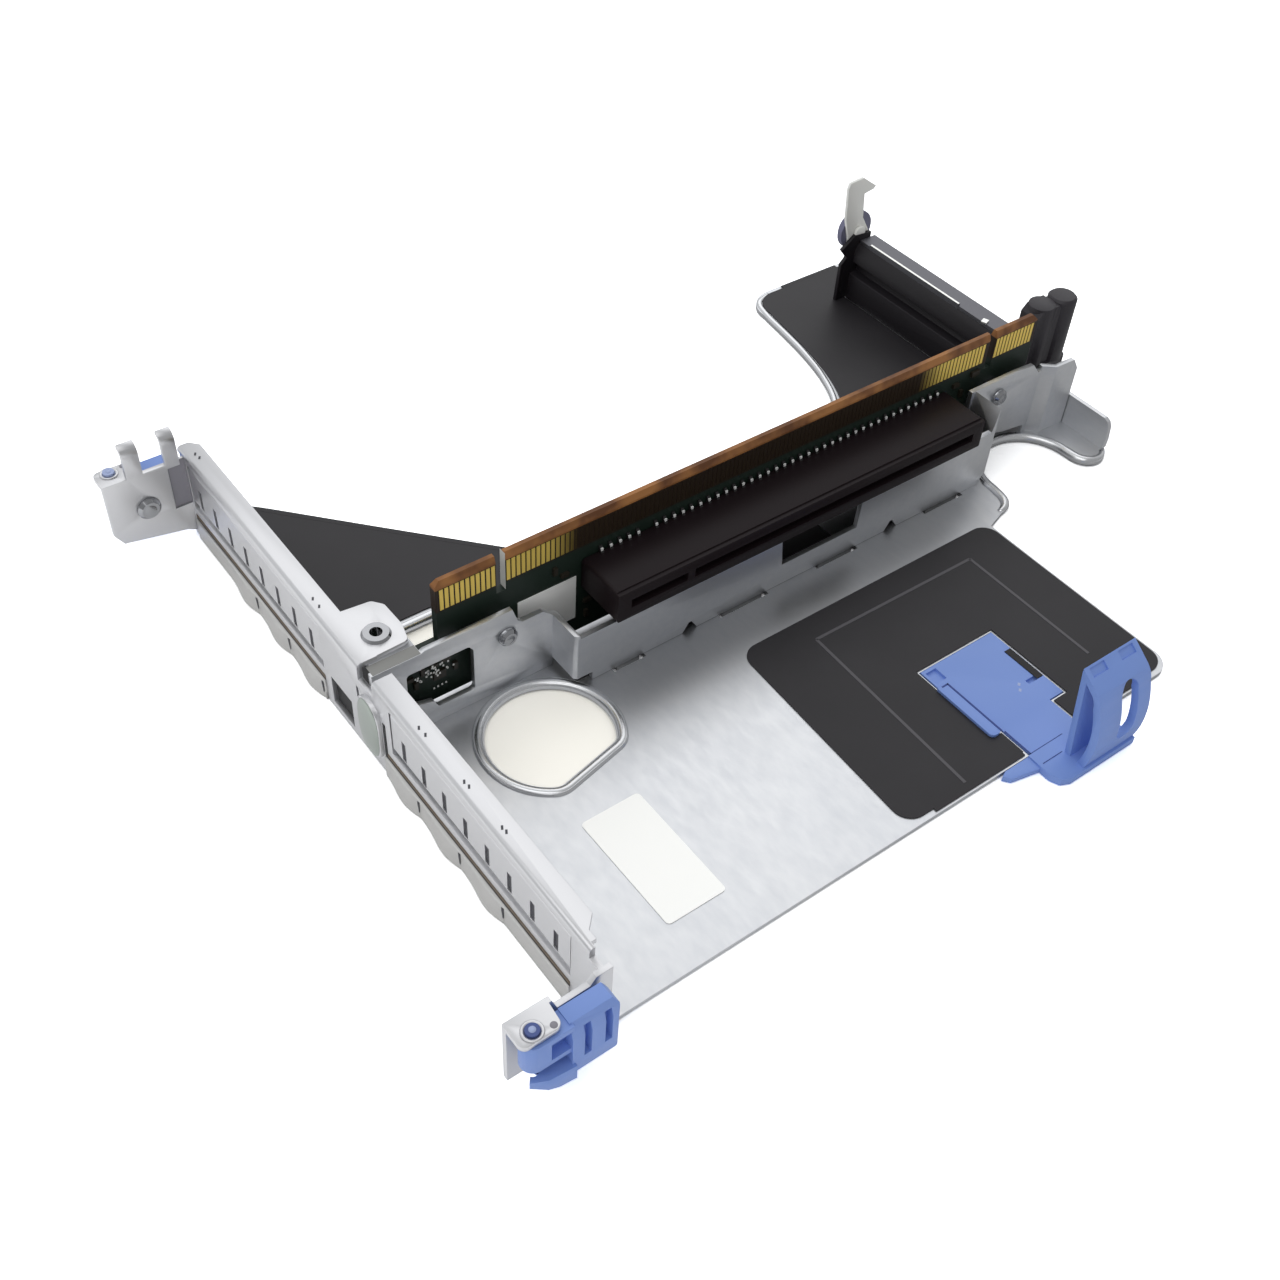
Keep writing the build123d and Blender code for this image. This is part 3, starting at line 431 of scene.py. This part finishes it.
def flatSpot(name, x, y, z, wide, deep, turn, material, body="cage", thick=0.05):
    # A thin panel that lies flat, turned by degrees about its middle
    corners = np.array([(-wide, -deep), (wide, -deep), (wide, deep), (-wide, deep)]) / 2
    spun = spin(corners, turn) + (x, y)
    points = np.vstack([np.column_stack([spun, np.full(4, z)]), np.column_stack([spun, np.full(4, z + thick)])])
    faces = np.array([(4, 5, 6, 7), (0, 3, 2, 1), (0, 1, 5, 4), (1, 2, 6, 5), (2, 3, 7, 6), (3, 0, 4, 7)])
    return newPiece(name, row(points), faces, material, body, smooth=False)


marks = {                    # mm
    "at": [(-46.6, 62.4), (-46.4, 61.0), (-46.9, 16.8), (-46.9, 14.6), (-47.0, -17.6), (-46.9, -19.4),
           (-46.9, -30.6), (-46.8, -31.8), (-46.9, -41.0), (-46.8, -42.0)],
    "flange": 19.0,
    "long": 0.8,
    "wide": 0.36,
}


def stampMarks():
    # Small punched marks along the top flange
    for k, (x, y) in enumerate(marks["at"]):
        flatSpot("flangeMark" + str(k), x, y, marks["flange"], marks["long"], marks["wide"], 60, extras["mark"],
                 thick=0.03)


stampMarks()
# painted highlight: a white line along the lit edge of the guide strip, and a pale stud on it
ribbon("stripEdgeHighlight", np.linspace((114.45, 24.4), (114.45, 52.7), 8), 0.5, 15.2, extras["bright"])
flatSpot("stripStud", 114.6, 16.6, 14.8, 1.5, 1.3, 20, extras["bright"], thick=0.4)


def turned(name, profile, centre, axis, material, body="cage"):
    # Profile of (radius, height) turned about an axis through the centre
    around = 40
    p = np.asarray(profile, float)
    a = np.linspace(0, 2 * math.pi, around, endpoint=False)
    z = np.asarray(axis, float)
    x = np.cross(z, (0, 0, 1)) if abs(z[2]) < 0.9 else np.array([1.0, 0, 0])
    y = np.cross(z, x)
    ring = np.cos(a)[:, None] * x + np.sin(a)[:, None] * y
    corners = (p[:, 0, None, None] * ring[None] + p[:, 1, None, None] * z + np.asarray(centre)).reshape(-1, 3)
    return newPiece(name, row(corners), gridFaces(len(p), around, False), material, body)


def dome(r, high):
    # profile of a quarter ellipse, for turned
    t = np.linspace(0, math.pi / 2, 9)
    return np.stack([r * np.cos(t) + 0.001, high * np.sin(t)], axis=1)


wallFace = -48.5             # mm, the outside of the slot bracket
leaves = {                   # mm
    "pitch": 12.4,
    "bulge": 0.95,           # how far a leaf stands out of the strip
    "base": 0.35,            # the strip itself
    "low": -0.95,
    "high": 3.85,
    "count": 3,
    "section": ((0.0, 0.8), (0.08, 1.0), (0.35, 1.0), (0.6, 0.62), (0.82, 0.22), (1.0, 0.0)),  # share of height, bulge
}
slits = {                    # mm
    "pitch": 6.1,
    "count": 8,
    "wide": 1.16,
    "low": 8.62,
    "high": 12.98,
}
stripEnds = {                # mm along the wall: ends of the strip, first leaf and middle of the slits
    "near": (-61.0, -8.1, -43.9, -35.75),
    "far": (12.5, 63.0, 12.95, 37.75),
}


def leafStrip(end, low, high, start):
    # Contact strip: each leaf rises as a skewed sine, slow from the far side and steep at the near one, and its
    # belly hangs low, the upper edge staying straight
    g = leaves
    y = np.linspace(low, high, 320)
    part = 1 - np.clip((y - start) / g["pitch"], 0, g["count"] - 1e-4) % 1
    inside = (y > start + 0.2) & (y < start + g["count"] * g["pitch"] - 0.2)
    out = inside * g["bulge"] * np.sin(math.pi * part ** 1.7) ** 1.1
    wall = np.full_like(y, wallFace + 0.05)
    ring = [(wall, g["low"])]
    for height, share in g["section"]:
        ring.append((wallFace - g["base"] * (0.7 + 0.3 * (height < 1)) - out * share,
                     g["low"] + height * (g["high"] - g["low"])))
    ring.append((wall, g["high"] + 0.05))
    corners = np.stack([np.column_stack([a, y, np.full_like(y, z)]) for a, z in ring], axis=1).reshape(-1, 3)
    piece = newPiece(end + "LeafStrip", corners=row(corners), faces=gridFaces(len(y), len(ring), False),
                     material=finishes["spring_steel"])
    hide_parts("emi_spring_" + end)


def blocks(name, centres, sizes, material, body="cage"):
    # Many small boxes in one piece: corner signs times half sizes, added to each centre
    signs = np.array([(a, b, c) for a in (-1, 1) for b in (-1, 1) for c in (-1, 1)]) / 2
    c = np.asarray(centres, float)
    corners = (c[:, None, :] + signs[None] * np.asarray(sizes, float)).reshape(-1, 3)
    box = np.array([(0, 1, 3, 2), (4, 6, 7, 5), (0, 4, 5, 1), (2, 3, 7, 6), (0, 2, 6, 4), (1, 5, 7, 3)])
    faces = (np.arange(len(c))[:, None, None] * 8 + box[None]).reshape(-1, 4)
    return newPiece(name, row(corners), faces, material, body, smooth=False)


def wallSpot(name, x, y0, y1, z0, z1, material):
    # A thin panel that faces the left
    return blocks(name, [(x, (y0 + y1) / 2, (z0 + z1) / 2)], (0.06, y1 - y0, z1 - z0), material)


for end, (low, high, first, middle) in stripEnds.items():
    leafStrip(end, low, high, first)
# painted shade: a grey panel darkens the pocket at the far end of the wall
blocks("endPocketShade", [(-50.1, 63.96, 12.7)], (3.2, 0.08, 10.2), extras["pocket"])
for end, (low, high, first, middle) in stripEnds.items():
    wallSpot(end + "Gasket", wallFace - 0.04, low, high, 4.25, 5.05, extras["brown"])
    # painted shade: a dark line under each gasket
    wallSpot(end + "GasketShade", wallFace - 0.05, low, high, 3.86, 4.25, extras["dark"])
    # painted shade: a grey mark in the notch at each leaf's end
    for k in range(leaves["count"]):
        y = first + k * leaves["pitch"]
        wallSpot(end + "LeafEndShade" + str(k), wallFace - 0.43, y + 0.1, y + 0.6, 0.5, 3.0, extras["mark"])
    # painted shade: a grey panel inside each slit of the wall
    for k in range(slits["count"]):
        y = middle + (k - (slits["count"] - 1) / 2) * slits["pitch"]
        wallSpot(end + "SlitShade" + str(k), wallFace + 0.45, y - slits["wide"] / 2, y + slits["wide"] / 2,
                 slits["low"], slits["high"], extras["mark"])
# painted shade: dark panels behind the opening under the tab and in the slit beside the tongue
wallSpot("tabShade", -47.6, 2.6, 10.6, 0.1, 7.3, extras["dark"])
wallSpot("tongueShade", wallFace - 0.06, -8.75, -8.0, 2.4, 12.0, extras["dark"])


def pill(name, x, cy, cz, halfY, halfZ, high, material):
    # Rounded dome on the wall: superellipse rings of radius r, raised by the root of one less r squared
    r = np.sin(np.linspace(math.pi / 2, 0.01, 10))[:, None]
    t = np.linspace(0, 2 * math.pi, 48, endpoint=False)[None, :]
    y = cy + halfY * r * np.sign(np.cos(t)) * np.abs(np.cos(t)) ** 0.85
    z = cz + halfZ * r * np.sign(np.sin(t)) * np.abs(np.sin(t)) ** 0.75
    out = x - high * np.sqrt(np.maximum(0, 1 - r ** 2)) * np.ones_like(t)
    corners = np.stack([out, y, z], axis=2).reshape(-1, 3)
    return newPiece(name, row(corners), gridFaces(10, 48, False), material)


pill("tongueDome", wallFace - 0.72, -4.2, 7.8, 3.3, 6.3, 0.75, extras["tongue"])
wallSpot("keyWall", -19.5, 0.05, 1.55, 19.95, 28.0, extras["cutEdge"])

feet = {                     # mm along the board: two groups of solder feet, the key between them
    "pitch": 2.0,
    "first": 5,
    "second": 36,
    "secondAt": 12.0,
    "front": -0.68,
    "height": 19.62,
}
footX = np.concatenate([np.arange(feet["first"]), feet["secondAt"] / feet["pitch"] + np.arange(feet["second"])])
tips = np.column_stack([footX * feet["pitch"], np.full(len(footX), feet["front"]), np.full(len(footX), feet["height"])])
# painted highlight: a white speck on the tip of each solder foot
blocks("leadTipHighlights", tips, (0.5, 0.26, 0.5), extras["tin"])
specks = {                   # mm, what shows through the bracket's window
    "x": (-34.6, 1.7),       # middle and spread
    "z": (9.2, 1.0),
    "count": 34,
    "front": -0.66,
    "row": [(-34.6 + 0.8 * k, -0.3, 4.7 + 0.05 * k) for k in range(4)],
}
chance = np.random.default_rng(4)
dotX = chance.normal(*specks["x"], specks["count"])
dotZ = chance.normal(*specks["z"], specks["count"])
dots = np.column_stack([dotX, np.full(specks["count"], specks["front"]), dotZ])
blocks("windowDots", np.vstack([dots, specks["row"]]), (0.3, 0.12, 0.34), extras["hook"])
# painted shade: dark panels on the plate under the window and behind the riser wall
flatSpot("windowShade", -32.0, -1.2, 0.0, 9.0, 2.2, 0, extras["dark"], thick=0.04)
flatSpot("slotShade", 21.0, -4.8, 0.0, 64.0, 8.8, 0, extras["dark"], thick=0.04)
# painted shade: a flat grey panel on the tab, for its darker turned-up face
flatSpot("tabFrontShade", -42.6, -2.15, 18.0, 8.9, 2.3, 0, extras["turned"], thick=0.05)

hems = {                     # mm: middle, size and thickness of the film's turned edges
    "filmCorner": (115.9, 62.35, 7.8, 9.6, 0.24),
    "filmHemFar": (111.0, 67.55, 17.0, 1.0, 0.25),
    "filmHemLeft": (32.3, -66.65, 21.4, 0.7, 0.25),
    "filmHemRight": (66.3, -66.65, 18.6, 0.7, 0.25),
}
for name, (x, y, wide, deep, thick) in hems.items():
    flatSpot(name, x, y, 0.0, wide, deep, 0, finishes["black_film"], thick=thick)
ribbon("filmHemRear", [(-38.2, 64.95), (-35.95, 62.75), (-15.7, 40.7), (4.4, 19.0), (6.0, 18.8)], 1.1, 0.0,
       finishes["black_film"], thick=0.27)
# painted shade: a grey line along the crease at the plate's corner
ribbon("cornerCreaseShade", np.linspace((120.75, -6.0), (120.75, -15.8), 6), 0.4, 0.02, extras["strip"])
turned("hookBoss", [(1.5, 0.0), (1.5, 0.68), (1.42, 0.78), (0.002, 0.78)], (114.2, 57.1, 16.6), (0, -1, 0),
       extras["hook"])

grooves = {                  # mm: both ends, points, width and height of the moulded lines on the handle, drawn darker as painted shade
    "handleGrooveLip": ((43.12, -47.6), (43.12, -61.1), 5, 0.36, 0.85),
    "handleGroove": ((43.95, -61.2), (43.95, -69.4), 5, 0.3, 0.2),
    "handleGrooveTop": ((41.7, -47.75), (43.2, -47.75), 4, 0.3, 0.85),
    "handleSeam": ((43.8, -67.35), (52.0, -67.35), 5, 0.14, 0.2),
    "handleSeamFoot": ((43.8, -70.3), (48.6, -70.3), 5, 0.14, 0.6),
}
for name, (start, end, count, wide, z) in grooves.items():
    ribbon(name, np.linspace(start, end, count), wide, z, extras["groove"])
# painted shade: a dark panel in the handle's slot
flatSpot("handleSlotShade", 59.0, -51.6, 0.2, 1.5, 8.2, 0, extras["dark"], thick=0.03)
for k, (x, y) in enumerate(((54.4, -54.8), (53.5, -55.9))):
    flatSpot("handleMark" + str(k), x, y, 0.2, 0.7, 0.5, 40, extras["paleBlue"], thick=0.03)

for side, x, z in (("left", -21.6, 12.8), ("right", 98.1, 14.2)):
    turned(side + "ScrewDome", dome(1.85, 1.35), (x, -3.4, z), (0, -1, 0), finishes["screw_steel"])
turned("endScrewDome", dome(2.3, 1.15), (-56.8, 63.5, 10.1), (0, -1, 0), finishes["screw_steel"])
pinX = -61.5                 # mm, both latch pins
for end, y in (("near", -70.7), ("far", 66.8)):
    turned(end + "PinWasher", [(1.06, 18.1), (1.08, 18.24), (1.55, 18.24), (1.7, 18.18), (1.7, 18.02)], (pinX, y, 0),
           (0, 0, 1), finishes["bracket_steel"])
    turned(end + "PinCentre", [(0.56, 18.5), (0.52, 18.64), (0.002, 18.66)], (pinX, y, 0), (0, 0, 1),
           extras["paleBlue"])
    outward = -0.8 if end == "near" else 0.8
    # painted shade: a grey dot in each ear's dimple
    turned(end + "EarDimple", [(0.55, 18.01), (0.5, 18.05), (0.002, 18.06)], (-58.6, y + outward, 0), (0, 0, 1),
           extras["pocket"])
    # painted shade: a dark blue block in the latch's open gap, where there is only shade
    blocks(end + "LatchGapShade", [(-59.0, y - outward * 0.3, 8.8)], (4.6, 1.8, 3.4), extras["groove"],
           end + "_latch")
print("detail pieces made")


def softened(name, width):
    # A copy of a piece with its edges broken, as a moulded or stamped edge is
    source = nodes[name]
    mesh = source.data.copy()
    work = bmesh.new()
    work.from_mesh(mesh)
    bmesh.ops.remove_doubles(work, verts=work.verts, dist=2e-6)
    bmesh.ops.dissolve_limit(work, angle_limit=math.radians(0.6), verts=work.verts, edges=work.edges)
    work.to_mesh(mesh)
    work.free()
    mesh.polygons.foreach_set("use_smooth", [True] * len(mesh.polygons))
    piece = bpy.data.objects.new(name + "Soft", mesh)
    bpy.context.scene.collection.objects.link(piece)
    edge = piece.modifiers.new("brokenEdge", "BEVEL")
    edge.width = width / 1000
    edge.segments = 2
    edge.limit_method = "ANGLE"
    edge.angle_limit = math.radians(35)
    edge.harden_normals = True
    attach(piece, bodyOf[name])
    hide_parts(name)


bodyOf = {node: body for body, group in frame["record"]["behaviour"]["bodies"].items() for node in group}
edges = {                    # mm, width of the broken edge
    "slot_bracket": 0.22, "riser_bracket": 0.22, "handle": 0.3, "near_latch": 0.3, "far_latch": 0.3,
    "slot_connector": 0.2, "guide_post": 0.4, "card_guide": 0.3, "guide_hook": 0.2,
}
for name, width in edges.items():
    softened(name, width)
print("edges softened")

# Camera where the photograph was taken from
camera = bpy.data.cameras.new("photoCamera")
cameraPiece = bpy.data.objects.new("photoCamera", camera)
bpy.context.scene.collection.objects.link(cameraPiece)
camera.sensor_width = 36.0
camera.lens = 42.34
camera.shift_x = -0.0016
camera.shift_y = 0.0005
camera.clip_start = 0.01
camera.clip_end = 10.0
cameraPiece.location = (-0.147370, -0.152618, 0.197980)
cameraPiece.rotation_euler = (0.77068775, -0.04721767, -0.64089328)
bpy.context.scene.camera = cameraPiece

# Pale floor
floorMesh = bpy.data.meshes.new("floor")
half = 3.0                   # m
floorMesh.from_pydata([(-half, -half, 0), (half, -half, 0), (half, half, 0), (-half, half, 0)], [], [(0, 1, 2, 3)])
floorPiece = bpy.data.objects.new("floor", floorMesh)
bpy.context.scene.collection.objects.link(floorPiece)
floorPiece.location.z = -0.0002

paper = {
    "seen": 2.2,             # how far past white the camera sees it, so that only the shadow shows
    "lighting": 1.15,        # what it gives back as soft light
    "left": 1.3,             # painted light: what the metal mirrors of it, brighter at the left
    "right": 0.55,           # and at the right
    "fall": (-0.11, 0.03),   # m along the board, where that changes
    "cream": "#FFFCF3",      # tint seen through the two holes of the plate
    "creamShare": 1.5,
    "holes": (((-0.0520, -0.0140, 0), 0.0135), ((-0.0567, 0.0166, 0), 0.0075)),     # m, middle and reach
}


def floorPaper():
    # White paper: past white for the camera; in the metal's reflections it falls off to the right, painted light; cream
    # in the holes
    material, tree, shader = newMaterial("whitePaper")
    path = add(tree, "ShaderNodeLightPath").outputs
    where = add(tree, "ShaderNodeTexCoord").outputs["Object"]
    under = []
    for centre, reach in paper["holes"]:
        far = add(tree, "ShaderNodeVectorMath", {0: where, 1: centre}, operation="DISTANCE").outputs["Value"]
        under.append(add(tree, "ShaderNodeMath", {0: far, 1: reach}, operation="LESS_THAN").outputs[0])
    either = add(tree, "ShaderNodeMath", {0: under[0], 1: under[1]}, operation="MAXIMUM").outputs[0]
    seen, lighting, left, right = [(paper[use],) * 3 + (1.0,) for use in ("seen", "lighting", "left", "right")]
    cream = tuple(paper["creamShare"] * c for c in linear(paper["cream"])[:3]) + (1.0,)
    shown = add(tree, "ShaderNodeMix", {"Factor": either, 6: seen, 7: cream}, data_type="RGBA").outputs[2]
    along = add(tree, "ShaderNodeSeparateXYZ", {0: where}).outputs["X"]
    start, end = paper["fall"]
    fall = add(tree, "ShaderNodeMapRange", {"Value": along, "From Min": start, "From Max": end}).outputs[0]
    mirrored = add(tree, "ShaderNodeMix", {"Factor": fall, 6: left, 7: right}, data_type="RGBA").outputs[2]
    unseen = add(tree, "ShaderNodeMix", {"Factor": path["Is Glossy Ray"], 6: lighting, 7: mirrored}, data_type="RGBA")
    tone = add(tree, "ShaderNodeMix", {"Factor": path["Is Camera Ray"], 6: unseen.outputs[2], 7: shown},
               data_type="RGBA")
    setInputs(tree, shader, {"Base Color": tone.outputs[2], "Roughness": 1.0, "Specular IOR Level": 0.0})
    return material


floorMesh.materials.append(floorPaper())

world = bpy.data.worlds.new("studio")
bpy.context.scene.world = world
world.use_nodes = True
worldTree = world.node_tree
background = worldTree.nodes["Background"]
room = {
    "front": 0.40,           # level of the light in front of the part
    "back": 0.79,            # and behind it
    "between": (-0.5, 0.55),
    "frontTint": (0.98, 0.99, 1.0),
    "backTint": (0.97, 0.985, 1.0),
}
where = add(worldTree, "ShaderNodeTexCoord").outputs["Object"]
towards = add(worldTree, "ShaderNodeSeparateXYZ", {0: where})
start, end = room["between"]
depth = add(worldTree, "ShaderNodeMapRange", {"Value": towards.outputs["Y"], "From Min": start, "From Max": end})
frontTone = tuple(room["front"] * c for c in room["frontTint"]) + (1.0,)
backTone = tuple(room["back"] * c for c in room["backTint"]) + (1.0,)
roomTone = add(worldTree, "ShaderNodeMix", {"Factor": depth.outputs[0], 6: frontTone, 7: backTone}, data_type="RGBA")
setInputs(worldTree, background, {"Color": roomTone.outputs[2], "Strength": 1.0})

lamps = {                    # m, m and W
    "backPanel": {"at": (0.50, 0.62, 0.82), "size": 1.1, "power": 2.4},
    "window": {"at": (-0.45, -0.25, 0.95), "size": 0.8, "power": 2.1},
}
for name, lamp in lamps.items():
    light = bpy.data.lights.new(name, "AREA")
    light.size = lamp["size"]
    light.energy = lamp["power"]
    piece = bpy.data.objects.new(name, light)
    bpy.context.scene.collection.objects.link(piece)
    piece.location = lamp["at"]
    back = piece.location.normalized()
    piece.rotation_euler = back.to_track_quat("Z", "Y").to_euler()
print("stage, lamps and camera set")

bpy.context.scene.view_settings.view_transform = "Standard"
